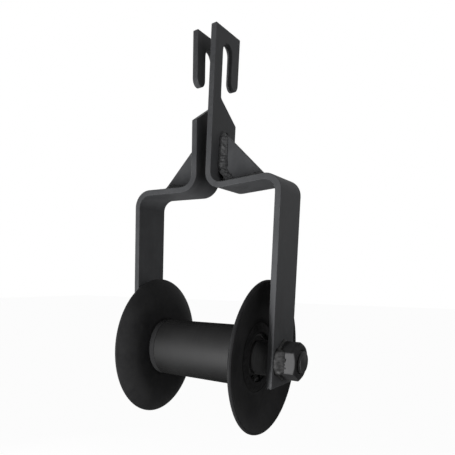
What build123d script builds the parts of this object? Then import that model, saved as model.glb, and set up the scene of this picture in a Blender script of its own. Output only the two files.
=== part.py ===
"""Stringing block: a wide flanged roller carried between two bent flat-bar half-frames.

Each half-frame ends in a hook. The two hooks face opposite ways, so that together they
close into an eye, and one half-frame swings about the axle to open that eye.
+X runs along the axle, +Z points up, and the origin is the centre of the eye.
Millimetres throughout.
"""
from build123d import *
import math
import os

os.makedirs("parts", exist_ok=True)

# ---- flat-bar half-frames -------------------------------------------------------------
bar_width = 50.0  # flat bar, across Y
bar_thick = 6.0  # flat bar, thickness
bend_inside = 12.0  # inside radius of both bends
frame_half_span = 85.0  # axle centre to the outer face of a side bar
yoke_top = 179.0  # axle centre up to the top of the level part, at the gusset's outer end
yoke_slope = 2.5  # degrees that the level part rises towards the side bar
strap_gap = 10.0  # between the two straps, where they leave the level part
strap_lean = 0.9  # degrees that each strap leans outwards
eye_height = 308.0  # axle centre up to the centre of the eye
head_above_eye = 22.0  # eye centre up to the top edge of the hook
bar_below_axle = 26.0  # axle centre down to the end of a side bar

# ---- hooks ----------------------------------------------------------------------------
slot_width = 19.0  # mouth of the hook, and twice the radius of the eye
prong_drop = 31.5  # eye centre down to the tip of the prong
shank_drop = 44.5  # eye centre down to where the narrow shank meets the shoulder
shoulder_drop = 65.0  # eye centre down to the outer end of the shoulder
shank_fillet = 4.0

# ---- gussets and their welds ----------------------------------------------------------
gusset_thick = 6.0
gusset_rise = 53.0  # up the strap
gusset_reach = 51.0  # out along the level part
gusset_clip = 14.0  # corner cut off to clear the bend
strap_weld_leg = 6.0
yoke_weld_leg = 7.0

# ---- axle, nuts, bushes ---------------------------------------------------------------
shaft_radius = 12.5
thread_radius = 11.0  # M22 ends
axle_proud = 3.0  # axle end beyond the outer face of the nut
axle_end_chamfer = 1.5
nut_across_flats = 34.0
nut_height = 18.0
nut_weld_leg_face = 7.0  # out over the side bar, against the two upright flats
nut_weld_leg_side = 9.0  # along the nut
nut_weld_run = 26.0  # length of the run against each upright flat
nut_seal_leg = 2.0  # the thin run against the other four flats
bush_radius = 18.0
bush_nose_radius = 15.5
bush_nose_length = 2.3
sleeve_radius = 15.5

# ---- roller ---------------------------------------------------------------------------
drum_radius = 32.0
drum_wall = 2.5
drum_half_length = 50.5  # to the collar of each hub
collar_length = 6.0  # hub collar between the drum and the flange
flange_radius = 80.0
flange_thick = 3.5
flange_flat_radius = 48.0  # the flange is flat inside this radius and flares outside it
flange_flare = 10.0  # how far the rim stands out from the flat
hub_nose = 1.2  # hub end beyond the flange
hub_inner_length = 14.0  # hub spigot inside the drum
flange_weld_leg = 6.0
flange_weld_rise = 1.2

# ---- bearings, 25 x 52 x 15 -----------------------------------------------------------
bearing_outer_radius = 26.0
bearing_width = 15.0
outer_ring_land = 22.4
inner_ring_land = 16.6
ball_count = 9
ball_radius = 3.9
ball_pitch_radius = 19.5
race_radius = 4.1
shield_thick = 0.5
shield_inset = 0.8
shield_gap = 0.4
cage_inner_radius = 18.6
cage_outer_radius = 20.4
cage_half_width = 4.8
pocket_radius = 4.15
circlip_thick = 1.5
circlip_lip = 1.6  # hub wall left outside the groove
circlip_width = 2.6
circlip_groove_depth = 1.1
circlip_lug_radius = 3.0
circlip_lug_hole = 1.0
circlip_gap_angle = 16.0  # half the gap between the lugs, degrees

# ---- clearances -----------------------------------------------------------------------
turn_fit = 0.05  # radial, between parts that turn on each other
slip_fit = 0.02  # radial, between parts pushed together
side_play = 0.2  # axial, between the swinging half-frame and what it turns on
groove_play = 0.1  # circlip in its groove

# ---- places that follow from the sizes above ------------------------------------------
axle_z = -eye_height
yoke_z = axle_z + yoke_top
bar_inner_x = frame_half_span - bar_thick
strap_inner_x = strap_gap / 2
strap_outer_x = strap_inner_x + bar_thick
gusset_end = strap_outer_x + gusset_reach
yoke_tan = math.tan(math.radians(yoke_slope))
lean_slope = math.tan(math.radians(strap_lean))
head_top = head_above_eye
slot_radius = slot_width / 2
shank_edge = -slot_radius
prong_radius = (bar_width / 2 - slot_radius) / 2
prong_centre_y = bar_width / 2 - prong_radius
prong_centre_z = -prong_drop + prong_radius
nut_corner_radius = nut_across_flats / math.sqrt(3)
nut_outer_x = frame_half_span + nut_height
axle_half_length = nut_outer_x + axle_proud
flange_face_x = drum_half_length + collar_length
hub_end_x = flange_face_x + flange_thick + hub_nose
bearing_outer_x = hub_end_x - circlip_lip - circlip_thick - groove_play
bearing_inner_x = bearing_outer_x - bearing_width
bearing_mid_x = bearing_outer_x - bearing_width / 2
axle_axis = Axis((0, 0, axle_z), (1, 0, 0))
axle_plane = Plane(origin=(0, 0, axle_z), x_dir=(0, 1, 0), z_dir=(1, 0, 0))


def strap_face_x(z):
    """Outer face of the right strap at height z."""
    return strap_outer_x + (z - yoke_z) * lean_slope


def yoke_face_z(x):
    """Top face of the right level part at x."""
    return yoke_z + (x - gusset_end) * yoke_tan


strap_foot_z = yoke_face_z(strap_outer_x)
bend_foot_z = yoke_face_z(strap_inner_x) - bar_thick


def ring(x1, x2, r_in, r_out):
    """A plain ring about the axle, from x1 to x2."""
    with BuildPart() as made:
        with BuildSketch(Plane(origin=(x1, 0, axle_z), x_dir=(0, 1, 0), z_dir=(1, 0, 0))):
            Circle(r_out)
            Circle(r_in, mode=Mode.SUBTRACT)
        extrude(amount=x2 - x1)
    return made.part


def turned(points):
    """A turned piece from its section, given as (x, radius) points."""
    with BuildPart() as made:
        with BuildSketch(Plane.XZ):
            with BuildLine():
                Polyline([(x, axle_z + r) for x, r in points], close=True)
            make_face()
        revolve(axis=axle_axis)
    return made.part


# ---- half-frames: flat bar bent twice, with the hook cut into its upper end -----------
with BuildPart() as right_half_frame:
    with BuildSketch(Plane.XZ) as bar_section:
        with BuildLine():
            Polyline(
                (bar_inner_x, axle_z - bar_below_axle),
                (frame_half_span, axle_z - bar_below_axle),
                (frame_half_span, yoke_face_z(frame_half_span)),
                (strap_face_x(strap_foot_z), strap_foot_z),
                (strap_face_x(head_top), head_top),
                (strap_face_x(head_top) - bar_thick, head_top),
                (strap_face_x(bend_foot_z) - bar_thick, bend_foot_z),
                (bar_inner_x, yoke_face_z(bar_inner_x) - bar_thick),
                close=True,
            )
        make_face()
        corners = bar_section.vertices().filter_by_position(
            Axis.Y, bend_foot_z - 1, yoke_face_z(frame_half_span) + 1
        )
        insides = [
            v
            for v in corners
            if abs(v.X - bar_inner_x) < 0.5 or abs(v.X - strap_outer_x) < 0.5
        ]
        fillet(insides, bend_inside)
        corners = bar_section.vertices().filter_by_position(
            Axis.Y, bend_foot_z - 1, yoke_face_z(frame_half_span) + 1
        )
        outsides = [
            v
            for v in corners
            if abs(v.X - frame_half_span) < 0.01 or abs(v.X - strap_inner_x) < 0.5
        ]
        fillet(outsides, bend_inside + bar_thick)
    extrude(amount=bar_width / 2, both=True)
    # the hook: a narrow shank, an eye at the top and a prong hanging on the open side
    with BuildSketch(Plane.YZ) as mouth:
        with BuildLine():
            Polyline(
                (shank_edge, 0),
                (shank_edge, -shank_drop),
                (bar_width / 2, -shoulder_drop),
                (bar_width / 2 + 1, -shoulder_drop),
                (bar_width / 2 + 1, prong_centre_z),
                (slot_radius, prong_centre_z),
                (slot_radius, 0),
                close=True,
            )
        make_face()
        fillet(mouth.vertices().sort_by_distance((shank_edge, -shank_drop, 0))[0], shank_fillet)
        Circle(slot_radius)
        with Locations((prong_centre_y, prong_centre_z)):
            Circle(prong_radius, mode=Mode.SUBTRACT)
    extrude(amount=frame_half_span, mode=Mode.SUBTRACT)
    # clearance hole for the axle's threaded end
    with BuildSketch(axle_plane):
        Circle(thread_radius + turn_fit)
    extrude(amount=frame_half_span + 1, mode=Mode.SUBTRACT)

# ---- gussets: a triangular plate on edge in the corner of the strap -------------------
gusset_top = yoke_z + gusset_rise
strap_weld_start = strap_foot_z + gusset_clip
yoke_weld_start = strap_outer_x + gusset_clip
with BuildPart() as right_gusset:
    with BuildSketch(Plane.XZ):
        with BuildLine():
            Polyline(
                (strap_face_x(gusset_top), gusset_top),
                (strap_face_x(strap_weld_start), strap_weld_start),
                (yoke_weld_start, yoke_face_z(yoke_weld_start)),
                (gusset_end, yoke_face_z(gusset_end)),
                close=True,
            )
        make_face()
    extrude(amount=gusset_thick / 2, both=True)

# ---- gusset welds: a bead on both sides, up the strap and along the level part --------
strap_weld_length = gusset_top - strap_weld_start - strap_weld_leg
strap_plane = Plane(
    origin=(strap_face_x(strap_weld_start), 0, strap_weld_start),
    x_dir=(1, 0, -lean_slope),
    z_dir=(lean_slope, 0, 1),
)
yoke_weld_plane = Plane(
    origin=(yoke_weld_start, 0, yoke_face_z(yoke_weld_start)),
    x_dir=(0, 1, 0),
    z_dir=(1, 0, yoke_tan),
)
with BuildPart() as right_gusset_weld:
    for side in (-1, 1):
        with BuildSketch(strap_plane):
            with BuildLine():
                Polyline(
                    (0, side * gusset_thick / 2),
                    (strap_weld_leg, side * gusset_thick / 2),
                    (0, side * (gusset_thick / 2 + strap_weld_leg)),
                    close=True,
                )
            make_face()
        extrude(amount=strap_weld_length)
        with BuildSketch(yoke_weld_plane):
            with BuildLine():
                Polyline(
                    (side * gusset_thick / 2, 0),
                    (side * gusset_thick / 2, yoke_weld_leg),
                    (side * (gusset_thick / 2 + yoke_weld_leg), 0),
                    close=True,
                )
            make_face()
        extrude(amount=gusset_reach - gusset_clip - yoke_weld_leg)

# ---- nuts: M22, standing on a corner, chamfered on the outer face ---------------------
nut_plane = Plane(origin=(frame_half_span, 0, axle_z), x_dir=(0, 1, 0), z_dir=(1, 0, 0))
with BuildPart() as right_nut:
    with BuildSketch(nut_plane):
        RegularPolygon(nut_corner_radius, 6, rotation=30)
        Circle(thread_radius + turn_fit, mode=Mode.SUBTRACT)
    extrude(amount=nut_height)
    nut_chamfer = nut_corner_radius - nut_across_flats / 2 + 0.6
    with BuildSketch(Plane.XZ):
        with BuildLine():
            Polyline(
                (nut_outer_x, axle_z + nut_corner_radius - nut_chamfer),
                (nut_outer_x + 1, axle_z + nut_corner_radius - nut_chamfer),
                (nut_outer_x + 1, axle_z + nut_corner_radius + 1),
                (nut_outer_x - nut_chamfer * 0.7, axle_z + nut_corner_radius + 1),
                close=True,
            )
        make_face()
    revolve(axis=axle_axis, mode=Mode.SUBTRACT)

# ---- nut welds: a coarse run against each upright flat, a thin one round the rest -----
with BuildPart() as right_nut_weld:
    add(
        turned(
            [
                (frame_half_span, nut_across_flats / 2 - 2),
                (frame_half_span, nut_across_flats / 2 + nut_weld_leg_face),
                (frame_half_span + nut_weld_leg_side, nut_across_flats / 2),
                (frame_half_span + nut_weld_leg_side, nut_across_flats / 2 - 2),
            ]
        )
    )
    with Locations((frame_half_span, 0, axle_z)):
        Box(nut_height * 2, bar_width * 2, nut_weld_run, mode=Mode.INTERSECT)
    with BuildSketch(nut_plane):
        RegularPolygon(nut_corner_radius + nut_seal_leg / math.cos(math.pi / 6), 6, rotation=30)
    extrude(amount=nut_seal_leg, taper=45)
    with BuildSketch(nut_plane):
        RegularPolygon(nut_corner_radius, 6, rotation=30)
    extrude(amount=nut_height, mode=Mode.SUBTRACT)

# ---- axle: plain between the side bars, threaded at both ends -------------------------
with BuildPart() as axle:
    add(
        turned(
            [
                (-axle_half_length, 0),
                (-axle_half_length, thread_radius - axle_end_chamfer),
                (-axle_half_length + axle_end_chamfer, thread_radius),
                (-bar_inner_x, thread_radius),
                (-bar_inner_x, shaft_radius),
                (bar_inner_x - side_play, shaft_radius),
                (bar_inner_x - side_play, thread_radius),
                (axle_half_length - axle_end_chamfer, thread_radius),
                (axle_half_length, thread_radius - axle_end_chamfer),
                (axle_half_length, 0),
            ]
        )
    )

# ---- spacer bushes: they hold each bearing off its side bar ---------------------------
shaft_bore = shaft_radius + slip_fit
with BuildPart() as right_spacer_bush:
    add(
        turned(
            [
                (bearing_outer_x, shaft_bore),
                (bearing_outer_x, bush_nose_radius),
                (bearing_outer_x + bush_nose_length, bush_nose_radius),
                (bearing_outer_x + bush_nose_length, bush_radius),
                (bar_inner_x - side_play, bush_radius),
                (bar_inner_x - side_play, shaft_bore),
            ]
        )
    )
with BuildPart() as left_spacer_bush:
    add(
        turned(
            [
                (-bearing_outer_x, shaft_bore),
                (-bearing_outer_x, bush_nose_radius),
                (-bearing_outer_x - bush_nose_length, bush_nose_radius),
                (-bearing_outer_x - bush_nose_length, bush_radius),
                (-bar_inner_x, bush_radius),
                (-bar_inner_x, shaft_bore),
            ]
        )
    )

# ---- inner sleeve: keeps the two inner rings apart on the shaft -----------------------
with BuildPart() as inner_sleeve:
    add(ring(-bearing_inner_x, bearing_inner_x, shaft_bore, sleeve_radius))

# ---- drum: the tube that the cable runs on --------------------------------------------
with BuildPart() as drum_tube:
    add(ring(-drum_half_length, drum_half_length, drum_radius - drum_wall, drum_radius))

# ---- hubs: a turned seat for each bearing, with a collar between drum and flange ------
hub_radius = drum_radius - drum_wall - slip_fit
hub_bore = bearing_outer_radius + slip_fit
groove_x = bearing_outer_x + circlip_thick + groove_play
groove_radius = hub_bore + circlip_groove_depth
with BuildPart() as right_hub:
    add(
        turned(
            [
                (drum_half_length - hub_inner_length, outer_ring_land),
                (drum_half_length - hub_inner_length, hub_radius),
                (drum_half_length, hub_radius),
                (drum_half_length, drum_radius),
                (flange_face_x, drum_radius),
                (flange_face_x, hub_radius),
                (hub_end_x, hub_radius),
                (hub_end_x, hub_bore + 0.8),
                (hub_end_x - 0.8, hub_bore),
                (groove_x, hub_bore),
                (groove_x, groove_radius),
                (bearing_outer_x, groove_radius),
                (bearing_outer_x, hub_bore),
                (bearing_inner_x, hub_bore),
                (bearing_inner_x, outer_ring_land),
            ]
        )
    )

# ---- flanges: pressed sheet, flat at the hub and flared towards the rim ---------------
flare_run = flange_radius - flange_flat_radius
flare_radius = (flare_run**2 + flange_flare**2) / (2 * flange_flare)
flare_angle = math.asin(flare_run / flare_radius)
flare_centre_x = flange_face_x + flare_radius


def flare_point(radius, share):
    """A point on the flare, measured from the cable side, as (x, height)."""
    angle = flare_angle * share
    return (
        flare_centre_x - radius * math.cos(angle),
        axle_z + flange_flat_radius + radius * math.sin(angle),
    )


with BuildPart() as right_flange:
    with BuildSketch(Plane.XZ):
        with BuildLine():
            bore_r = axle_z + hub_radius + slip_fit
            Line((flange_face_x, bore_r), (flange_face_x, axle_z + flange_flat_radius))
            ThreePointArc(
                flare_point(flare_radius, 0), flare_point(flare_radius, 0.5), flare_point(flare_radius, 1)
            )
            Line(flare_point(flare_radius, 1), flare_point(flare_radius - flange_thick, 1))
            ThreePointArc(
                flare_point(flare_radius - flange_thick, 1),
                flare_point(flare_radius - flange_thick, 0.5),
                flare_point(flare_radius - flange_thick, 0),
            )
            Line(
                (flange_face_x + flange_thick, axle_z + flange_flat_radius),
                (flange_face_x + flange_thick, bore_r),
            )
            Line((flange_face_x + flange_thick, bore_r), (flange_face_x, bore_r))
        make_face()
    revolve(axis=axle_axis)

# ---- flange welds: a ring of weld between the hub end and the flange ------------------
weld_x = flange_face_x + flange_thick
with BuildPart() as right_flange_weld:
    add(
        turned(
            [
                (weld_x, hub_radius + slip_fit),
                (weld_x, hub_radius + flange_weld_leg),
                (weld_x + flange_weld_rise, hub_radius + slip_fit),
            ]
        )
    )

# ---- bearings -------------------------------------------------------------------------
with BuildPart() as right_bearing_outer_ring:
    add(ring(bearing_inner_x, bearing_outer_x, outer_ring_land, bearing_outer_radius))
    with BuildSketch(Plane.XZ):
        with Locations((bearing_mid_x, axle_z + ball_pitch_radius)):
            Circle(race_radius)
    revolve(axis=axle_axis, mode=Mode.SUBTRACT)

with BuildPart() as right_bearing_inner_ring:
    add(ring(bearing_inner_x, bearing_outer_x, shaft_bore, inner_ring_land))
    with BuildSketch(Plane.XZ):
        with Locations((bearing_mid_x, axle_z + ball_pitch_radius)):
            Circle(race_radius)
    revolve(axis=axle_axis, mode=Mode.SUBTRACT)

ball_places = [
    (
        bearing_mid_x,
        ball_pitch_radius * math.cos(2 * math.pi * i / ball_count),
        axle_z + ball_pitch_radius * math.sin(2 * math.pi * i / ball_count),
    )
    for i in range(ball_count)
]
with BuildPart() as right_bearing_balls:
    with Locations(*ball_places):
        Sphere(ball_radius)

with BuildPart() as right_bearing_cage:
    add(
        ring(
            bearing_mid_x - cage_half_width,
            bearing_mid_x + cage_half_width,
            cage_inner_radius,
            cage_outer_radius,
        )
    )
    with Locations(*ball_places):
        Sphere(pocket_radius, mode=Mode.SUBTRACT)

with BuildPart() as right_bearing_shields:
    for start in (bearing_inner_x + shield_inset, bearing_outer_x - shield_inset - shield_thick):
        add(ring(start, start + shield_thick, inner_ring_land + shield_gap, outer_ring_land))

# ---- circlips: an open ring with two lugs, sprung into the hub's groove ---------------
clip_outer = groove_radius - groove_play
clip_inner = clip_outer - circlip_width
clip_plane = Plane(origin=(bearing_outer_x, 0, axle_z), x_dir=(0, 1, 0), z_dir=(1, 0, 0))
lug_pitch = hub_bore - circlip_lug_radius - 0.4
lug_angle = circlip_gap_angle + math.degrees(circlip_lug_radius / lug_pitch)
lug_places = [
    (
        lug_pitch * math.cos(math.radians(-90 + side * lug_angle)),
        lug_pitch * math.sin(math.radians(-90 + side * lug_angle)),
    )
    for side in (-1, 1)
]
with BuildPart() as right_circlip:
    with BuildSketch(clip_plane):
        Circle(clip_outer)
        Circle(clip_inner, mode=Mode.SUBTRACT)
        with BuildLine():
            gap_half = math.radians(circlip_gap_angle)
            gap_reach = clip_outer * 1.5
            Polyline(
                (0, 0),
                (-gap_reach * math.sin(gap_half), -gap_reach * math.cos(gap_half)),
                (gap_reach * math.sin(gap_half), -gap_reach * math.cos(gap_half)),
                close=True,
            )
        make_face(mode=Mode.SUBTRACT)
        with Locations(*lug_places):
            Circle(circlip_lug_radius)
            Circle(circlip_lug_hole, mode=Mode.SUBTRACT)
    extrude(amount=circlip_thick)

# ---- the left side is the right side turned half a turn about Z -----------------------
right_pieces = {
    "half_frame": right_half_frame,
    "gusset": right_gusset,
    "gusset_weld": right_gusset_weld,
    "nut": right_nut,
    "nut_weld": right_nut_weld,
    "hub": right_hub,
    "flange": right_flange,
    "flange_weld": right_flange_weld,
    "bearing_outer_ring": right_bearing_outer_ring,
    "bearing_inner_ring": right_bearing_inner_ring,
    "bearing_balls": right_bearing_balls,
    "bearing_cage": right_bearing_cage,
    "bearing_shields": right_bearing_shields,
    "circlip": right_circlip,
}
pieces = {
    "axle": axle,
    "inner_sleeve": inner_sleeve,
    "drum_tube": drum_tube,
    "right_spacer_bush": right_spacer_bush,
    "left_spacer_bush": left_spacer_bush,
}
for name, piece in right_pieces.items():
    pieces["right_" + name] = piece
    with BuildPart() as left_piece:
        add(piece.part.rotate(Axis.Z, 180))
    pieces["left_" + name] = left_piece

for name, piece in pieces.items():
    piece.part.label = name
    export_step(piece.part, f"parts/{name}.step")
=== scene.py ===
import math
import random
import bmesh
import bpy
from mathutils import Matrix, Vector, noise


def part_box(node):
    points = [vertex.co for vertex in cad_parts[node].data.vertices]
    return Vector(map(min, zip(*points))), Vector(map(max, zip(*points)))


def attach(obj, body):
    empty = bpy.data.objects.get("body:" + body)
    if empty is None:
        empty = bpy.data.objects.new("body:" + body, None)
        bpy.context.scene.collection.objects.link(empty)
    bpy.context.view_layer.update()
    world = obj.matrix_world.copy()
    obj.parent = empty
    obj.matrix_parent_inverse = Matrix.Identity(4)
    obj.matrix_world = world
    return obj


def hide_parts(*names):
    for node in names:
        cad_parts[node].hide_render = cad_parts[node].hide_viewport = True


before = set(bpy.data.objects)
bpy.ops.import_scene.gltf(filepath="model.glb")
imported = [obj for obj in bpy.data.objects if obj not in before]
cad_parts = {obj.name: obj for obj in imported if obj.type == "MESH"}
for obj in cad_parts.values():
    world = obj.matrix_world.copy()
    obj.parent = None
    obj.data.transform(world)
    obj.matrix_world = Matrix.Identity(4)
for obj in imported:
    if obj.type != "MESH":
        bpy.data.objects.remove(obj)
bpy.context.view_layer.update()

# ---- half-frames ------------------------------------------------------------------------
# Each half-frame is one length of 50 x 6 mm flat bar, bent twice and laser cut at its top
# into a shoulder, a narrow shank and a hook whose prong hangs on the open side. Both are
# the same part, one of them turned round, in a thin coat of charcoal satin paint.
MM = 0.001
axle_low, axle_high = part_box("axle")
AXLE_Z = (axle_low[2] + axle_high[2]) / 2
bar_low, bar_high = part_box("right_half_frame")
BAR_WIDTH = bar_high[1] - bar_low[1]
BAR_THICK = 6.0 * MM
BAR_END_Z = bar_low[2]
FRAME_HALF_SPAN = bar_high[0]
HEAD_TOP = bar_high[2]
BEND_INSIDE = 12.0 * MM
gusset_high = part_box("right_gusset")[1]
GUSSET_RISE = 53.0 * MM
YOKE_Z = gusset_high[2] - GUSSET_RISE
YOKE_SLOPE = math.radians(2.5)
STRAP_INNER_X = 5.0 * MM
STRAP_LEAN = math.radians(0.9)
SLOT_RADIUS = 9.5 * MM
PRONG_TIP_Z = -31.5 * MM
SHANK_FOOT_Z = -44.5 * MM
SHOULDER_Z = -65.0 * MM
SHANK_FILLET = 4.0 * MM
BEND_STEPS = 14


class Sock:
    """One output of a node, with the arithmetic that a finish is written in."""

    def __init__(self, finish, socket):
        self.finish = finish
        self.socket = socket

    def _math(self, operation, *values, clamp=False):
        return self.finish.node(
            "ShaderNodeMath", {"operation": operation, "use_clamp": clamp}, dict(enumerate(values))
        )

    def __add__(self, other):
        return self._math("ADD", self, other)

    def __radd__(self, other):
        return self._math("ADD", other, self)

    def __sub__(self, other):
        return self._math("SUBTRACT", self, other)

    def __rsub__(self, other):
        return self._math("SUBTRACT", other, self)

    def __mul__(self, other):
        return self._math("MULTIPLY", self, other)

    def __rmul__(self, other):
        return self._math("MULTIPLY", other, self)

    def __pow__(self, other):
        return self._math("POWER", self, other)

    def clamped(self):
        return self._math("ADD", self, 0.0, clamp=True)

    def fade(self, low, high):
        """0 below low, 1 above high, smooth between."""
        return self.finish.node(
            "ShaderNodeMapRange",
            {"interpolation_type": "SMOOTHSTEP", "clamp": True},
            {"Value": self, "From Min": low, "From Max": high, "To Min": 0.0, "To Max": 1.0},
        )


class Nodes:
    """The nodes of a material or of the sky, made and joined in one way."""

    def __init__(self, tree):
        self.tree = tree

    def node(self, kind, settings=None, inputs=None, out=0):
        made = self.tree.nodes.new(kind)
        for key, value in (settings or {}).items():
            setattr(made, key, value)
        for key, value in (inputs or {}).items():
            self.put(made.inputs[key], value)
        return Sock(self, made.outputs[out])

    def put(self, socket, value):
        if isinstance(value, Sock):
            self.tree.links.new(value.socket, socket)
        elif isinstance(value, tuple) and len(value) == 3 and socket.type == "RGBA":
            socket.default_value = (*value, 1.0)
        else:
            socket.default_value = value


class Finish(Nodes):
    """A procedural finish round one Principled shader."""

    def __init__(self, name):
        self.material = bpy.data.materials.new(name)
        self.material.use_nodes = True
        super().__init__(self.material.node_tree)
        self.shader = next(n for n in self.tree.nodes if n.type == "BSDF_PRINCIPLED")
        self.output = next(n for n in self.tree.nodes if n.type == "OUTPUT_MATERIAL")

    def set(self, **inputs):
        for key, value in inputs.items():
            self.put(self.shader.inputs[key.replace("_", " ")], value)

    def place(self):
        """Where a point is on the object, in metres."""
        return self.node("ShaderNodeTexCoord", out="Object")

    def along(self, axis, vector=None):
        """One coordinate of a point: 0 for X, 1 for Y, 2 for Z."""
        return self.node("ShaderNodeSeparateXYZ", {}, {0: vector or self.place()}, out=axis)

    def stretched(self, scale):
        return self.node("ShaderNodeMapping", {}, {"Vector": self.place(), "Scale": Vector(scale)})

    def cloud(self, scale, detail=3.0, roughness=0.5, vector=None):
        return self.node(
            "ShaderNodeTexNoise",
            {},
            {
                "Vector": vector or self.place(),
                "Scale": scale,
                "Detail": detail,
                "Roughness": roughness,
            },
        )

    def cells(self, scale):
        return self.node("ShaderNodeTexVoronoi", {}, {"Vector": self.place(), "Scale": scale})

    def blend(self, first, second, share):
        """From the first colour to the second."""
        return self.node(
            "ShaderNodeMix", {"data_type": "RGBA"}, {0: share, 6: first, 7: second}, out=2
        )

    def bump(self, height, distance, strength=1.0, under=None):
        inputs = {"Height": height, "Distance": distance, "Strength": strength}
        if under is not None:
            inputs["Normal"] = under
        return self.node("ShaderNodeBump", {}, inputs)


def charcoal_paint(name, dark, light, rough_low, rough_high):
    """Satin paint on rolled bar: faint clouding, fine orange peel, a few pale specks of dust."""
    paint = Finish(name)
    clouding = paint.cloud(38.0, 4.0, 0.6)
    streaks = paint.cloud(26.0, 3.0, 0.55, paint.stretched((3.0, 3.0, 0.5)))
    speck = paint.cells(900.0)
    dust = 1 - speck.fade(0.05, 0.22)
    shade = (clouding * 0.6 + streaks * 0.4).fade(0.34, 0.66)
    body = paint.blend(dark, light, shade)
    dusty = paint.blend(body, tuple(part * 1.5 for part in light), dust * 0.16)
    gloss = shade * (rough_high - rough_low) + rough_low
    # the cut faces of the hook and shoulder are glossier, and lighter in patches: a painted sheen
    # as well as paint rubbed thin
    facing = paint.along(0, paint.node("ShaderNodeTexCoord", out="Normal"))
    cut = (1 - facing * facing).fade(0.55, 0.95)
    cut = cut * paint.along(2).fade(SHOULDER_Z - 12 * MM, SHOULDER_Z)
    painted_sheen_mask = paint.cloud(420.0, 3.0, 0.6).fade(0.42, 0.62)
    paint.set(
        Base_Color=paint.blend(dusty, (0.13, 0.132, 0.136), cut * 0.30 * painted_sheen_mask),
        Roughness=gloss - cut * 0.16,
    )
    peel = paint.cloud(1100.0, 2.0, 0.5)
    mill = paint.cloud(170.0, 4.0, 0.6)
    rolled = paint.bump(mill, 0.00022, 0.35)
    paint.set(Normal=paint.bump(peel, 0.00005, 0.5, rolled))
    return paint


frame_paint = charcoal_paint(
    "charcoal bar paint", (0.080, 0.082, 0.086), (0.112, 0.114, 0.119), 0.40, 0.56
)
frame_paint.set(IOR=1.46, Specular_IOR_Level=0.14)


def new_piece(name, mesh, finish, slot, body, *replaced):
    """A finished piece that rides on a body and stands for the solids it replaces."""
    piece = bpy.data.objects.new(name, mesh)
    bpy.context.scene.collection.objects.link(piece)
    mesh.materials.append(finish.material)
    for face in mesh.polygons:
        face.use_smooth = True
    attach(piece, body)
    if replaced:
        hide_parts(*replaced)
    return piece


def soften(piece, width, segments=3, angle=35.0):
    """Break the edges, as grinding and paint do."""
    edge = piece.modifiers.new("edge", "BEVEL")
    edge.width = width
    edge.segments = segments
    edge.limit_method = "ANGLE"
    edge.angle_limit = math.radians(angle)
    edge.harden_normals = True
    edge.miter_outer = "MITER_ARC"
    return piece


def join_rings(made, low, high):
    """Faces between two rings of the same count."""
    for j in range(len(low)):
        k = (j + 1) % len(low)
        made.faces.new((low[j], low[k], high[k], high[j]))


def closed_mesh(made, name):
    """The finished mesh of a closed skin, its faces turned outwards."""
    bmesh.ops.recalc_face_normals(made, faces=made.faces)
    mesh = bpy.data.meshes.new(name)
    made.to_mesh(mesh)
    made.free()
    return mesh


def arc_points(centre, radius, start, end, steps):
    """Points on an arc, angles in degrees."""
    made = []
    for i in range(steps + 1):
        a = math.radians(start + (end - start) * i / steps)
        made.append((centre[0] + radius * math.cos(a), centre[1] + radius * math.sin(a)))
    return made


def strap_x(z, outer):
    """Inner or outer face of the right strap at height z."""
    lean = (z - YOKE_Z) * math.tan(STRAP_LEAN)
    return STRAP_INNER_X + (BAR_THICK if outer else 0.0) + lean


def yoke_top(x):
    """Top face of the right level part at x. It rises a little towards the side bar."""
    return YOKE_Z + (x - gusset_high[0]) * math.tan(YOKE_SLOPE)


def bar_stations():
    """Pairs of (inner, outer) points along the bent bar, from the lower end to the shoulder."""
    r_in = BEND_INSIDE
    r_out = BEND_INSIDE + BAR_THICK
    inner_x = FRAME_HALF_SPAN - BAR_THICK
    slope = math.degrees(YOKE_SLOPE)
    lean = math.degrees(STRAP_LEAN)
    # the upper outer bend turns from the side bar into the level part
    centre_x = inner_x - r_in
    upper = (centre_x, yoke_top(centre_x) - r_out / math.cos(YOKE_SLOPE))
    # the inner bend touches the level part's top and the strap's outer face
    foot_x = STRAP_INNER_X + BAR_THICK + r_in
    foot = (foot_x, yoke_top(foot_x) + r_in / math.cos(YOKE_SLOPE))
    foot = (strap_x(foot[1], True) + r_in / math.cos(STRAP_LEAN), foot[1])
    made = []
    for i in range(6):
        z = BAR_END_Z + (upper[1] - BAR_END_Z) * i / 6
        made.append(((inner_x, z), (FRAME_HALF_SPAN, z)))
    made += list(
        zip(
            arc_points(upper, r_in, 0, 90 + slope, BEND_STEPS),
            arc_points(upper, r_out, 0, 90 + slope, BEND_STEPS),
        )
    )
    middle_x = (upper[0] + foot[0]) / 2
    made.append(((middle_x, yoke_top(middle_x) - BAR_THICK), (middle_x, yoke_top(middle_x))))
    made += list(
        zip(
            arc_points(foot, r_out, 270 + slope, 180 - lean, BEND_STEPS),
            arc_points(foot, r_in, 270 + slope, 180 - lean, BEND_STEPS),
        )
    )
    top = SHOULDER_Z - 8 * MM
    for i in range(1, 4):
        z = foot[1] + (top - foot[1]) * i / 3
        made.append(((strap_x(z, False), z), (strap_x(z, True), z)))
    return made


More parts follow.
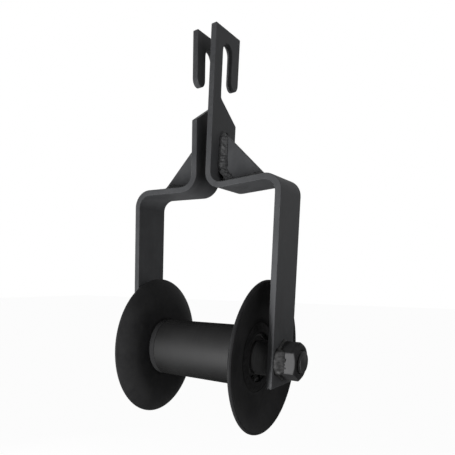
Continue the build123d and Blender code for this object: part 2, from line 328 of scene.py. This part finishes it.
def hook_outline():
    """The flat outline of the head as (y, z), from one edge of the strap round to the other."""
    half = BAR_WIDTH / 2
    prong_r = (half - SLOT_RADIUS) / 2
    prong_c = (half - prong_r, PRONG_TIP_Z + prong_r)
    shank = -SLOT_RADIUS
    slope = math.atan2(SHANK_FOOT_Z - SHOULDER_Z, half - shank)
    points = [(half, SHOULDER_Z)]
    # the shoulder runs up to the shank and turns into it with a small fillet
    bend = (math.pi / 2 - slope) / 2
    run = SHANK_FILLET * math.tan(bend)
    foot = (shank, SHANK_FOOT_Z)
    centre = (foot[0] + SHANK_FILLET, foot[1] + run)
    start = math.degrees(math.pi * 1.5 - slope)
    points += arc_points(centre, SHANK_FILLET, start, 180, 6)
    points += arc_points((0, 0), SLOT_RADIUS, 180, 0, 20)
    points += arc_points(prong_c, prong_r, 180, 360, 16)
    points += [(half, HEAD_TOP), (-half, HEAD_TOP)]
    return points


def half_frame_mesh(name, turned):
    """The bent bar with its hook, as one closed mesh."""
    made = bmesh.new()
    spin = -1.0 if turned else 1.0
    half = BAR_WIDTH / 2

    def corner(x, y, z):
        return made.verts.new((spin * x, spin * y, z))

    rows = []
    for (ix, iz), (ox, oz) in bar_stations():
        rows.append(
            [
                corner(ix, -half, iz),
                corner(ix, half, iz),
                corner(ox, half, oz),
                corner(ox, -half, oz),
            ]
        )
    made.faces.new(rows[0][::-1])
    for low, high in zip(rows, rows[1:]):
        join_rings(made, low, high)
    last = rows[-1]
    outline = hook_outline()
    inner = [corner(strap_x(z, False), y, z) for y, z in outline]
    outer = [corner(strap_x(z, True), y, z) for y, z in outline]
    made.faces.new([last[0], last[1]] + inner)
    made.faces.new(([last[3], last[2]] + outer)[::-1])
    ring_in = [last[1]] + inner + [last[0]]
    ring_out = [last[2]] + outer + [last[3]]
    for i in range(len(ring_in) - 1):
        made.faces.new((ring_in[i], ring_in[i + 1], ring_out[i + 1], ring_out[i]))
    return closed_mesh(made, name)


for side in ("right", "left"):
    bar = new_piece(
        side + "_bent_bar",
        half_frame_mesh(side + "_bent_bar", side == "left"),
        frame_paint,
        "frame_paint",
        side + "_frame",
        side + "_half_frame",
    )
    soften(bar, 0.7 * MM, 3)

# ---- gussets ----------------------------------------------------------------------------
# A triangle of 6 mm plate stands on edge in the corner of each strap, its inner corner cut
# off to clear the bend. It is sheared from plate and painted with the frame.
GUSSET_THICK = 6.0 * MM
GUSSET_CLIP = 14.0 * MM
STRAP_FOOT = (strap_x(YOKE_Z, True), yoke_top(strap_x(YOKE_Z, True)))
STRAP_BEAD_START = STRAP_FOOT[1] + GUSSET_CLIP
YOKE_BEAD_START = STRAP_FOOT[0] + GUSSET_CLIP


def gusset_mesh(name, turned):
    spin = -1.0 if turned else 1.0
    outline = [
        (strap_x(gusset_high[2], True), gusset_high[2]),
        (strap_x(STRAP_BEAD_START, True), STRAP_BEAD_START),
        (YOKE_BEAD_START, yoke_top(YOKE_BEAD_START)),
        (gusset_high[0], yoke_top(gusset_high[0])),
    ]
    made = bmesh.new()
    near = [made.verts.new((spin * x, -GUSSET_THICK / 2, z)) for x, z in outline]
    far = [made.verts.new((spin * x, GUSSET_THICK / 2, z)) for x, z in outline]
    made.faces.new(near)
    made.faces.new(far[::-1])
    join_rings(made, near, far)
    return closed_mesh(made, name)


for side in ("right", "left"):
    plate = new_piece(
        side + "_corner_plate",
        gusset_mesh(side + "_corner_plate", side == "left"),
        frame_paint,
        "frame_paint",
        side + "_frame",
        side + "_gusset",
    )
    soften(plate, 0.5 * MM, 2)

# ---- gusset welds -----------------------------------------------------------------------
# Hand-laid beads join the gusset to the strap and to the level part on both sides, and
# wrap its clipped corner. They are lumpy, with the ripple of each pool, and painted over.
STRAP_BEAD_LEG = 7.0 * MM
YOKE_BEAD_LEG = 7.2 * MM
CORNER_BEAD_LEG = 6.4 * MM
BEAD_ACROSS = 12
BEAD_STEPS = 90
BEAD_RIPPLE = 3.2 * MM
BEAD_END_SHARE = 0.17
BEAD_END_SIZE = 0.22
BEAD_LAP = 3 * MM
CORNER_LAP = 2 * MM

weld_paint = Finish("painted weld")
pool = weld_paint.cloud(300.0, 4.0, 0.62)
spatter = weld_paint.cells(520.0)
soot = (pool * 0.7 + spatter * 0.3).fade(0.25, 0.7)
weld_paint.set(
    Base_Color=weld_paint.blend((0.045, 0.046, 0.048), (0.125, 0.126, 0.129), soot),
    Roughness=0.35 + 0.25 * pool,
    Normal=weld_paint.bump(pool, 0.0006, 0.6),
    Specular_IOR_Level=0.2,
)


def bead_mesh(name, path, corner_in, corner_out, leg, seed, heel):
    """A fillet bead along a path. corner_in and corner_out are the two directions in which
    the bead spreads from the root of the joint. It swells by heel where it was begun."""
    rng = random.Random(seed)
    phase = rng.uniform(0.0, 6.28)
    made = bmesh.new()
    steps = len(path)
    rows = []
    for i, root in enumerate(path):
        share = i / (steps - 1)
        from_end = min(1.0, min(share, 1 - share) / BEAD_END_SHARE)
        taper = BEAD_END_SIZE + (1 - BEAD_END_SIZE) * from_end**0.6
        run = (root - path[0]).length
        wobble = noise.noise(Vector((run * 170.0, seed * 3.1, 0.0)))
        size = leg * taper * (0.98 + 0.16 * wobble + heel * math.cos(math.pi * share))
        row = []
        for j in range(BEAD_ACROSS + 1):
            t = j / BEAD_ACROSS
            crown = math.sin(math.pi * t)
            flat = corner_in * (1 - t) + corner_out * t
            drift = 1.4 * noise.noise(Vector((run * 130.0, seed * 1.9, t)))
            wave = run * 2 * math.pi / BEAD_RIPPLE + phase + drift + 2.2 * crown
            scallop = 0.035 * math.sin(wave)
            lump = 0.20 * noise.noise(Vector((run * 330.0, t * 2.4, seed * 7.7)))
            lump += 0.09 * noise.noise(Vector((run * 900.0, t * 6.0, seed * 2.3)))
            bulge = (corner_in + corner_out).normalized()
            bulge *= crown * 0.15 + (scallop + lump) * crown
            row.append(made.verts.new(root + (flat + bulge) * size))
        row.append(made.verts.new(root))
        rows.append(row)
    for low, high in zip(rows, rows[1:]):
        join_rings(made, low, high)
    made.faces.new(rows[0])
    made.faces.new(rows[-1][::-1])
    return closed_mesh(made, name)


def straight_path(start, end, steps):
    return [start.lerp(end, i / (steps - 1)) for i in range(steps)]


strap_end = STRAP_BEAD_START - BEAD_LAP
corner_end = YOKE_BEAD_START - CORNER_LAP
yoke_end = gusset_high[0] - BEAD_LAP
for side, spin in (("right", 1.0), ("left", -1.0)):
    stand_for = [side + "_gusset_weld"]
    for face, tag in ((-1.0, "near"), (1.0, "far")):
        y = face * GUSSET_THICK / 2
        ends = {
            "strap": (
                Vector((spin * strap_x(strap_end, True), y, strap_end)),
                Vector((spin * strap_x(gusset_high[2], True), y, gusset_high[2])),
                Vector((spin, 0, 0)),
                STRAP_BEAD_LEG,
                0.13,
            ),
            "corner": (
                Vector((spin * strap_x(STRAP_BEAD_START, True), y, STRAP_BEAD_START + CORNER_LAP)),
                Vector((spin * corner_end, y, yoke_top(corner_end))),
                Vector((spin * 0.7, 0, 0.7)),
                CORNER_BEAD_LEG,
                0.0,
            ),
            "yoke": (
                Vector((spin * YOKE_BEAD_START, y, yoke_top(YOKE_BEAD_START))),
                Vector((spin * yoke_end, y, yoke_top(yoke_end))),
                Vector((0, 0, 1)),
                YOKE_BEAD_LEG,
                -0.12,
            ),
        }
        for joint, (start, end, up, leg, heel) in ends.items():
            name = f"{side}_{joint}_bead_{tag}"
            seed = 3 + face * 2 + spin + len(joint)
            path = straight_path(start, end, BEAD_STEPS)
            new_piece(
                name,
                bead_mesh(name, path, Vector((0, face, 0)), up, leg, seed, heel),
                weld_paint,
                "weld",
                side + "_frame",
                *stand_for,
            )
            stand_for = []

# ---- nuts -------------------------------------------------------------------------------
# An M22 hex nut, 34 mm across flats, stands on one corner against the outside of each side
# bar. It is forged and turned, with a 30 degree chamfer on its outer face.
nut_low, nut_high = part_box("right_nut")
NUT_FLATS = nut_high[1] - nut_low[1]
NUT_HEIGHT = nut_high[0] - nut_low[0]
THREAD_RADIUS = 11.0 * MM
THREAD_MOUTH = 12.2 * MM
NUT_CORNER_TURNED = 1.145
NUT_CHAMFER_START = 0.955

nut_steel = Finish("dull nut steel")
grain = nut_steel.cloud(150.0, 4.0, 0.6)
turning = nut_steel.cloud(60.0, 3.0, 0.5, nut_steel.stretched((14.0, 1.0, 1.0)))
wear = (grain * 0.5 + turning * 0.5).fade(0.3, 0.7)
# the two flats that face along Y are made lighter than the rest of the nut: a painted highlight
across_flats = nut_steel.along(1)
painted_sheen_mask = (across_flats * across_flats).fade(
    (NUT_FLATS / 2 - 1.2 * MM) ** 2, (NUT_FLATS / 2 - 0.5 * MM) ** 2
)
black_steel = nut_steel.blend((0.026, 0.026, 0.027), (0.046, 0.046, 0.047), wear)
highlit_steel = nut_steel.blend((0.100, 0.100, 0.102), (0.135, 0.135, 0.137), wear)
nut_steel.set(
    Base_Color=nut_steel.blend(black_steel, highlit_steel, painted_sheen_mask),
    Roughness=0.42 + 0.2 * wear,
    Specular_IOR_Level=0.1,
    Normal=nut_steel.bump(grain, 0.0002, 0.25),
)


def ringed_mesh(name, rings, close_ends=False):
    """A closed skin over rings of points, each ring with the same count."""
    made = bmesh.new()
    rows = [[made.verts.new(p) for p in ring] for ring in rings]
    loops = list(zip(rows, rows[1:]))
    if not close_ends:
        loops.append((rows[-1], rows[0]))
    for low, high in loops:
        join_rings(made, low, high)
    if close_ends:
        made.faces.new(rows[0][::-1])
        made.faces.new(rows[-1])
    return closed_mesh(made, name)


def nut_mesh(name, spin):
    """Hex skin with a turned chamfer, a countersunk mouth and a plain bore."""
    count = 144
    rings = []
    apothem = NUT_FLATS / 2
    chamfer_start = apothem * NUT_CHAMFER_START

    def hex_radius(angle):
        step = math.pi / 3
        off = (angle % step) - step / 2
        return apothem / math.cos(off)

    def ring(radius_of, height_of):
        made = []
        for j in range(count):
            a = 2 * math.pi * j / count
            # corners point up and down
            r = radius_of(a + math.pi / 2)
            x = height_of(a + math.pi / 2)
            made.append((spin * (FRAME_HALF_SPAN + x), r * math.cos(a), AXLE_Z + r * math.sin(a)))
        return made

    def corner_rounded(a):
        return min(hex_radius(a), apothem * NUT_CORNER_TURNED)

    def chamfer_height(a):
        return NUT_HEIGHT - (corner_rounded(a) - chamfer_start) * math.tan(math.radians(30))

    rings.append(ring(lambda a: THREAD_RADIUS + 0.05 * MM, lambda a: 0.0))
    rings.append(ring(corner_rounded, lambda a: 0.0))
    rings.append(ring(corner_rounded, lambda a: chamfer_height(a) - 0.25 * MM))
    rings.append(ring(lambda a: corner_rounded(a) - 0.2 * MM, chamfer_height))
    rings.append(ring(lambda a: chamfer_start, lambda a: NUT_HEIGHT - 0.05 * MM))
    rings.append(ring(lambda a: chamfer_start - 0.3 * MM, lambda a: NUT_HEIGHT))
    rings.append(ring(lambda a: THREAD_MOUTH + 0.25 * MM, lambda a: NUT_HEIGHT))
    rings.append(ring(lambda a: THREAD_MOUTH, lambda a: NUT_HEIGHT - 0.15 * MM))
    rings.append(ring(lambda a: THREAD_RADIUS + 0.05 * MM, lambda a: NUT_HEIGHT - 1.2 * MM))
    return ringed_mesh(name, rings)


for side, spin in (("right", 1.0), ("left", -1.0)):
    nut = new_piece(
        side + "_hex_nut",
        nut_mesh(side + "_hex_nut", spin),
        nut_steel,
        "nut_steel",
        side + "_frame",
        side + "_nut",
    )
    soften(nut, 0.35 * MM, 2, 25.0)

# ---- nut welds --------------------------------------------------------------------------
# Two coarse hand-laid runs, on the nut's near and far flats, hold it to the side bar, and a
# thin pass seals the rest of its foot. They are left with their ripples and spatter.
NUT_RUN_FACE = 6.6 * MM
NUT_RUN_SIDE = 8.6 * MM
NUT_SEAL_LEG = 2.2 * MM
NUT_RUN_SPREAD = math.radians(37.0)
NUT_RUN_FADE = math.radians(11.0)
NUT_RIPPLE = 7.5 * MM

nut_weld_skin = Finish("bare dark weld")
crust = nut_weld_skin.cloud(240.0, 4.0, 0.62)
scale_spots = nut_weld_skin.cells(380.0)
burnt = (crust * 0.75 + scale_spots * 0.25).fade(0.3, 0.66)
# the thin seal pass above and below the nut, away from the two runs, is painted near black as
# shade
bead_z = nut_weld_skin.along(2) - AXLE_Z
unshaded_run_mask = 1 - (bead_z * bead_z).fade((8.5 * MM) ** 2, (12.0 * MM) ** 2)
nut_weld_skin.set(
    Base_Color=nut_weld_skin.blend(
        (0.010, 0.010, 0.010), (0.078, 0.078, 0.079), (0.25 + 0.75 * burnt) * unshaded_run_mask
    ),
    Roughness=0.28 + 0.30 * crust,
    Specular_IOR_Level=0.35,
    Normal=nut_weld_skin.bump(crust, 0.0007, 0.6),
)


def nut_bead_mesh(name, spin, seed):
    """A lumpy fillet round the hexagon, heavy on the two flats that face along Y."""
    count = 288
    across = 14
    apothem = NUT_FLATS / 2
    made = bmesh.new()
    rows = []
    for i in range(count):
        a = 2 * math.pi * i / count
        step = math.pi / 3
        off = ((a + math.pi / 2) % step) - step / 2
        hex_r = min(apothem / math.cos(off), apothem * NUT_CORNER_TURNED)
        from_flat = min(a, abs(a - math.pi), 2 * math.pi - a)
        heavy = (NUT_RUN_SPREAD + NUT_RUN_FADE - from_flat) / (2 * NUT_RUN_FADE)
        heavy = min(1.0, max(0.0, heavy))
        heavy = heavy * heavy * (3 - 2 * heavy)
        run = a * (apothem + 3 * MM)
        wide = 1.0 + 0.16 * noise.noise(Vector((math.cos(a) * 2.4, math.sin(a) * 6.4, seed)))
        tall = 1.0 + 0.30 * noise.noise(Vector((math.cos(a) * 3.1, math.sin(a) * 7.1, seed + 9.0)))
        face_leg = NUT_SEAL_LEG + (NUT_RUN_FACE - NUT_SEAL_LEG) * heavy
        side_leg = NUT_SEAL_LEG + (NUT_RUN_SIDE - NUT_SEAL_LEG) * heavy
        outer_r = hex_r + face_leg * wide - (hex_r - apothem) * heavy
        inner_x = side_leg * tall
        row = [(0.0, hex_r - 0.8 * MM)]
        for j in range(across + 1):
            t = j / across
            x = inner_x * t
            r = outer_r + (hex_r - outer_r) * t
            swell = math.sin(math.pi * t)
            ripple = math.sin(run * 2 * math.pi / NUT_RIPPLE + 2.6 * t + seed)
            lump = noise.noise(Vector((run * 150.0, t * 2.2, seed * 5.0)))
            coarse = 0.35 + 0.65 * heavy
            push = swell * coarse * (1.3 + 0.35 * ripple + 1.5 * lump) * MM
            row.append((x + push * 0.6, r + push * 0.6))
        row.append((inner_x, hex_r - 0.8 * MM))
        rows.append(
            [
                made.verts.new(
                    (spin * (FRAME_HALF_SPAN + x), r * math.cos(a), AXLE_Z + r * math.sin(a))
                )
                for x, r in row
            ]
        )
    for i in range(count):
        join_rings(made, rows[i], rows[(i + 1) % count])
    return closed_mesh(made, name)


for side, spin, seed in (("right", 1.0, 1.7), ("left", -1.0, 4.4)):
    new_piece(
        side + "_nut_bead",
        nut_bead_mesh(side + "_nut_bead", spin, seed),
        nut_weld_skin,
        "weld",
        side + "_frame",
        side + "_nut_weld",
    )

# ---- axle -------------------------------------------------------------------------------
# A turned steel shaft, 25 mm between the side bars and cut M22 at both ends, each end
# standing a little proud of its nut with a chamfer.
AXLE_HALF_LENGTH = axle_high[0]
SHAFT_RADIUS = (axle_high[2] - axle_low[2]) / 2
BAR_INNER_X = FRAME_HALF_SPAN - BAR_THICK
THREAD_PITCH = 2.5 * MM
THREAD_DEPTH = 1.2 * MM
THREAD_STEPS = 90

axle_steel = Finish("oiled axle steel")
lathe_marks = axle_steel.cloud(90.0, 3.0, 0.5, axle_steel.stretched((30.0, 1.0, 1.0)))
stain = axle_steel.cloud(120.0, 4.0, 0.6)
axle_steel.set(
    Base_Color=axle_steel.blend(
        (0.035, 0.035, 0.036), (0.062, 0.062, 0.063), stain.fade(0.35, 0.65)
    ),
    Roughness=0.40 + 0.18 * lathe_marks,
    Specular_IOR_Level=0.25,
    Normal=axle_steel.bump(lathe_marks, 0.0001, 0.3),
)


def axle_mesh(name):
    """The shaft with a cut thread at each end."""
    count = 64
    rings = []

    def radius_at(x, angle):
        ax = abs(x)
        if ax < BAR_INNER_X:
            return SHAFT_RADIUS
        tip = AXLE_HALF_LENGTH - ax
        turn = (ax / THREAD_PITCH + angle / (2 * math.pi)) % 1.0
        groove = THREAD_DEPTH * (1 - abs(2 * turn - 1) ** 1.2) * 0.9
        r = THREAD_RADIUS - groove
        return min(r, THREAD_RADIUS - 1.5 * MM + tip)

    places = [-AXLE_HALF_LENGTH]
    start = -AXLE_HALF_LENGTH
    end = -(BAR_INNER_X + 0.02 * MM)
    places += [start + (end - start) * (i + 1) / THREAD_STEPS for i in range(THREAD_STEPS)]
    places += [-BAR_INNER_X + 0.02 * MM, 0.0]
    places += [-x for x in places[:-1][::-1]]
    for x in places:
        ring = []
        for j in range(count):
            a = 2 * math.pi * j / count
            r = radius_at(x, a if x > 0 else -a)
            ring.append((x, r * math.cos(a), AXLE_Z + r * math.sin(a)))
        rings.append(ring)
    return ringed_mesh(name, rings, close_ends=True)


new_piece(
    "threaded_shaft", axle_mesh("threaded_shaft"), axle_steel, "axle_steel", "left_frame", "axle"
)

# ---- drum -------------------------------------------------------------------------------
# The drum is 64 mm steel tube with a 2.5 mm wall. Cable keeps its surface dark, smooth and
# lightly burnished, with faint rings from being turned.
drum_low, drum_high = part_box("drum_tube")
DRUM_RADIUS = (drum_high[2] - drum_low[2]) / 2
DRUM_HALF_LENGTH = drum_high[0]
DRUM_WALL = 2.5 * MM

drum_steel = Finish("burnished drum steel")
rings_noise = drum_steel.cloud(40.0, 4.0, 0.6, drum_steel.stretched((40.0, 1.0, 1.0)))
smear = drum_steel.cloud(24.0, 4.0, 0.6)
burnish = (rings_noise * 0.5 + smear * 0.5).fade(0.3, 0.7)
drum_steel.set(
    Base_Color=drum_steel.blend((0.052, 0.052, 0.0525), (0.068, 0.068, 0.0685), burnish),
    Roughness=0.60 + 0.08 * burnish,
    Metallic=1.0,
    Specular_Tint=(0.0, 0.0, 0.0, 1.0),
    Normal=drum_steel.bump(rings_noise, 0.00006, 0.25),
)


def lathe_mesh(name, profile, count=160):
    """A closed turned piece from its section, given as (x, radius) points."""
    rings = []
    for x, r in profile:
        rings.append(
            [
                (x, r * math.cos(turn), AXLE_Z + r * math.sin(turn))
                for turn in (2 * math.pi * j / count for j in range(count))
            ]
        )
    return ringed_mesh(name, rings)


drum = new_piece(
    "drum_skin",
    lathe_mesh(
        "drum_skin",
        [
            (-DRUM_HALF_LENGTH, DRUM_RADIUS - DRUM_WALL),
            (-DRUM_HALF_LENGTH, DRUM_RADIUS),
            (DRUM_HALF_LENGTH, DRUM_RADIUS),
            (DRUM_HALF_LENGTH, DRUM_RADIUS - DRUM_WALL),
        ],
    ),
    drum_steel,
    "drum_steel",
    "roller",
    "drum_tube",
)
soften(drum, 0.5 * MM, 2)

# ---- flanges ----------------------------------------------------------------------------
# Each flange is pressed from 3.5 mm sheet: flat round the hub, flared outwards to the rim
# so that a cable runs down into the drum. The rim is rounded and the paint is near black.
flange_low, flange_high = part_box("right_flange")
FLANGE_RADIUS = (flange_high[2] - flange_low[2]) / 2
FLANGE_FACE = flange_low[0]
FLANGE_THICK = 3.5 * MM
FLANGE_FLAT = 48.0 * MM
FLANGE_FLARE = 10.0 * MM
HUB_RADIUS = 29.48 * MM
WELD_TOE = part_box("right_flange_weld")[1][1] + 0.8 * MM
WELD_TOE_WIDTH = 1.3 * MM
FLAT_RING_INNER = 36 * MM
FLAT_RING_OUTER = 42 * MM
RIM_ROUND = 0.9 * MM

flange_paint = Finish("black flange paint")
soft_cloud = flange_paint.cloud(30.0, 4.0, 0.6)
fine_peel = flange_paint.cloud(900.0, 2.0, 0.5)
scuff = flange_paint.cloud(75.0, 5.0, 0.7).fade(0.55, 0.75)
# a black line of painted shade runs round the toe of the ring weld, on the outer side only
out_along = flange_paint.along(0)
out_y = flange_paint.along(1)
out_z = flange_paint.along(2) - AXLE_Z
from_axle = (out_y * out_y + out_z * out_z) ** 0.5
from_toe = from_axle - WELD_TOE + (soft_cloud - 0.5) * 3 * MM
toe_shade_line = 1 - (from_toe**2).fade(0.0, WELD_TOE_WIDTH**2)
toe_shade_line = toe_shade_line * (out_along * out_along).fade((FLANGE_FACE + 1 * MM) ** 2, (FLANGE_FACE + 3 * MM) ** 2)
black = flange_paint.blend((0.023, 0.023, 0.024), (0.039, 0.039, 0.040), soft_cloud.fade(0.3, 0.7))
flange_paint.set(
    Base_Color=flange_paint.blend(black, (0.003, 0.003, 0.003), toe_shade_line),
    Roughness=0.42 + 0.16 * soft_cloud + 0.08 * scuff,
    Specular_IOR_Level=0.07,
    Normal=flange_paint.bump(fine_peel, 0.00004, 0.4),
)

FLARE_RUN = FLANGE_RADIUS - FLANGE_FLAT
FLARE_RADIUS = (FLARE_RUN**2 + FLANGE_FLARE**2) / (2 * FLANGE_FLARE)
FLARE_ANGLE = math.asin(FLARE_RUN / FLARE_RADIUS)


def flange_profile(spin):
    """Section of one flange, with a rounded rim."""
    face = FLANGE_FACE
    centre = (face + FLARE_RADIUS, FLANGE_FLAT)

    def flare(radius, share):
        a = FLARE_ANGLE * share
        return (centre[0] - radius * math.cos(a), centre[1] + radius * math.sin(a))

    rim_in = flare(FLARE_RADIUS, 1.0)
    rim_out = flare(FLARE_RADIUS - FLANGE_THICK, 1.0)
    points = [(face, HUB_RADIUS + 0.02 * MM), (face, FLAT_RING_INNER), (face, FLAT_RING_OUTER)]
    points += [flare(FLARE_RADIUS, i / 16) for i in range(16)]
    mid = ((rim_in[0] + rim_out[0]) / 2, (rim_in[1] + rim_out[1]) / 2)
    along = (math.sin(FLARE_ANGLE), math.cos(FLARE_ANGLE))
    across = ((rim_in[0] - rim_out[0]) / 2, (rim_in[1] - rim_out[1]) / 2)
    for i in range(9):
        t = math.pi * i / 8
        lift = math.sin(t) * RIM_ROUND - RIM_ROUND
        points.append(
            (
                mid[0] + across[0] * math.cos(t) + along[0] * lift,
                mid[1] + across[1] * math.cos(t) + along[1] * lift,
            )
        )
    points += [flare(FLARE_RADIUS - FLANGE_THICK, i / 16) for i in range(15, -1, -1)]
    points += [
        (face + FLANGE_THICK, FLAT_RING_OUTER),
        (face + FLANGE_THICK, HUB_RADIUS + 0.02 * MM),
    ]
    return [(spin * x, r) for x, r in points]


for side, spin in (("right", 1.0), ("left", -1.0)):
    new_piece(
        side + "_pressed_flange",
        lathe_mesh(side + "_pressed_flange", flange_profile(spin), 192),
        flange_paint,
        "flange_paint",
        "roller",
        side + "_flange",
    )

# ---- flange welds and hubs --------------------------------------------------------------
# Each hub end stands through its flange and is welded round on the outside. The turned
# hub keeps a 6 mm collar between the drum and the flange.
hub_steel = Finish("turned hub steel")
hub_marks = hub_steel.cloud(80.0, 3.0, 0.5, hub_steel.stretched((20.0, 1.0, 1.0)))
hub_steel.set(
    Base_Color=hub_steel.blend(
        (0.025, 0.025, 0.026), (0.036, 0.036, 0.037), hub_marks.fade(0.3, 0.7)
    ),
    Roughness=0.42 + 0.15 * hub_marks,
    Specular_IOR_Level=0.1,
    Normal=hub_steel.bump(hub_marks, 0.0001, 0.3),
)
ring_weld = Finish("black ring weld")
pools = ring_weld.cloud(260.0, 4.0, 0.6)
ring_weld.set(
    Base_Color=ring_weld.blend(
        (0.020, 0.020, 0.0205), (0.044, 0.044, 0.045), pools.fade(0.35, 0.65)
    ),
    Roughness=0.45 + 0.2 * pools,
    Specular_IOR_Level=0.06,
    Normal=ring_weld.bump(pools, 0.0008, 0.8),
)
bearing_steel = Finish("bearing steel")
race_marks = bearing_steel.cloud(200.0, 2.0, 0.5)
bearing_steel.set(
    Base_Color=bearing_steel.blend((0.10, 0.10, 0.102), (0.16, 0.16, 0.163), race_marks),
    Roughness=0.38 + 0.12 * race_marks,
    Metallic=0.6,
)
shield_steel = Finish("greasy shield steel")
grease = shield_steel.cloud(110.0, 4.0, 0.65)
shield_steel.set(
    Base_Color=shield_steel.blend((0.07, 0.07, 0.07), (0.12, 0.12, 0.12), grease.fade(0.35, 0.7)),
    Roughness=0.45 + 0.25 * grease,
    Specular_IOR_Level=0.2,
    Normal=shield_steel.bump(grease, 0.0003, 0.3),
)
clip_steel = Finish("black spring steel")
clip_marks = clip_steel.cloud(150.0, 3.0, 0.5)
clip_steel.set(
    Base_Color=clip_steel.blend((0.009, 0.009, 0.009), (0.016, 0.016, 0.016), clip_marks),
    Roughness=0.45 + 0.2 * clip_marks,
    Specular_IOR_Level=0.15,
)
bush_steel = Finish("bush steel")
bush_marks = bush_steel.cloud(70.0, 3.0, 0.5, bush_steel.stretched((24.0, 1.0, 1.0)))
bush_steel.set(
    Base_Color=bush_steel.blend(
        (0.150, 0.150, 0.153), (0.210, 0.210, 0.213), bush_marks.fade(0.3, 0.7)
    ),
    Roughness=0.42 + 0.15 * bush_marks,
    Specular_IOR_Level=0.2,
    Normal=bush_steel.bump(bush_marks, 0.0001, 0.3),
)

for node, finish in {
    "hub": hub_steel,
    "flange_weld": ring_weld,
    "bearing_outer_ring": bearing_steel,
    "bearing_inner_ring": bearing_steel,
    "bearing_balls": bearing_steel,
    "bearing_cage": bearing_steel,
    "bearing_shields": shield_steel,
    "circlip": clip_steel,
    "spacer_bush": bush_steel,
}.items():
    for side in ("right", "left"):
        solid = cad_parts[side + "_" + node]
        for slot in solid.material_slots:
            slot.material = finish.material
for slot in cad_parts["inner_sleeve"].material_slots:
    slot.material = bush_steel.material

# ---- studio -----------------------------------------------------------------------------
# The block hangs in a white room over a plain pale floor. A tall narrow soft lamp stands
# close in front of it, with weak fill from the right and from behind on the left.
FLOOR_Z = AXLE_Z - 0.62
FLOOR_REACH = 14.0
SKY_FILL = 0.06
SKY_GLOSS = 0.4
FLOOR_GLOW = 0.97

floor_mesh = bpy.data.meshes.new("floor")
floor_mesh.from_pydata(
    [(x, y, FLOOR_Z) for x, y in ((-1, -1), (1, -1), (1, 1), (-1, 1))], [], [(0, 1, 2, 3)]
)
floor_mesh.transform(Matrix.Diagonal((FLOOR_REACH, FLOOR_REACH, 1.0, 1.0)))
floor = bpy.data.objects.new("floor", floor_mesh)
bpy.context.scene.collection.objects.link(floor)
white = Finish("pale floor")
tone = white.cloud(3.0, 2.0, 0.5)
white.set(Base_Color=white.blend((0.84, 0.84, 0.84), (0.87, 0.87, 0.87), tone), Roughness=0.9)
seen = white.node("ShaderNodeLightPath", out="Is Camera Ray")
glow = white.node("ShaderNodeEmission", {}, {"Color": (1.0, 1.0, 1.0), "Strength": 1.0})
white.put(
    white.output.inputs["Surface"],
    white.node(
        "ShaderNodeMixShader",
        {},
        {0: seen * FLOOR_GLOW, 1: Sock(white, white.shader.outputs[0]), 2: glow},
    ),
)
floor_mesh.materials.append(white.material)

world = bpy.data.worlds.new("white room")
bpy.context.scene.world = world
world.use_nodes = True
sky = Nodes(world.node_tree)
backdrop = world.node_tree.nodes["Background"]
backdrop.inputs["Color"].default_value = (1.0, 1.0, 1.0, 1.0)
open_rays = [
    sky.node("ShaderNodeLightPath", out=kind)
    for kind in ("Is Camera Ray", "Is Glossy Ray", "Is Transmission Ray")
]
in_view = (open_rays[0] + open_rays[1] * SKY_GLOSS + open_rays[2]).clamped()
sky.put(backdrop.inputs["Strength"], in_view * (1 - SKY_FILL) + SKY_FILL)


def soft_light(name, place, target, wide, tall, watts):
    lamp = bpy.data.lights.new(name, "AREA")
    lamp.shape = "RECTANGLE"
    lamp.size = wide
    lamp.size_y = tall
    lamp.energy = watts
    holder = bpy.data.objects.new(name, lamp)
    bpy.context.scene.collection.objects.link(holder)
    holder.location = place
    holder.rotation_euler = (Vector(target) - Vector(place)).to_track_quat("-Z", "Y").to_euler()
    holder.visible_camera = False


middle = (0.0, 0.0, -0.25)
soft_light("tall front lamp", (-0.048, -0.458, -0.405), (0.0, 0.0, -0.36), 0.02, 0.44, 2.45)
soft_light("right fill", (0.780, -0.450, -0.060), middle, 0.5, 0.5, 0.9)
soft_light("low right fill", (1.296, 0.228, -0.729), middle, 0.8, 0.8, 0.3)
soft_light("high right fill", (1.129, 0.199, 0.553), middle, 0.8, 0.8, 1.2)
soft_light("back left fill", (-1.360, 0.630, -0.200), middle, 1.0, 1.0, 9.0)

# ---- camera -----------------------------------------------------------------------------
# It stands close, level with the roller and a little above it, so the bars stand tall and
# the undersides of the level parts show. The frame is a part of a wider view.
camera = bpy.data.cameras.new("camera")
camera.sensor_width = 36.0
camera.lens = 36.93
camera.shift_x = 0.27356
camera.shift_y = 0.23536
camera.clip_start = 0.01
viewer = bpy.data.objects.new("camera", camera)
bpy.context.scene.collection.objects.link(viewer)
azimuth, elevation, roll = math.radians(42.334), math.radians(-6.786), math.radians(0.283)
ahead = Vector(
    (
        -math.sin(azimuth) * math.cos(elevation),
        math.cos(azimuth) * math.cos(elevation),
        math.sin(elevation),
    )
)
across = Vector((math.cos(azimuth), math.sin(azimuth), 0.0))
upward = across.cross(ahead)
right = across * math.cos(roll) + upward * math.sin(roll)
upward = right.cross(ahead)
turn = Matrix((right, upward, -ahead)).transposed()
viewer.matrix_world = Matrix.Translation((0.26153, -0.46017, -0.22871)) @ turn.to_4x4()
bpy.context.scene.camera = viewer
bpy.context.scene.view_settings.view_transform = "Standard"
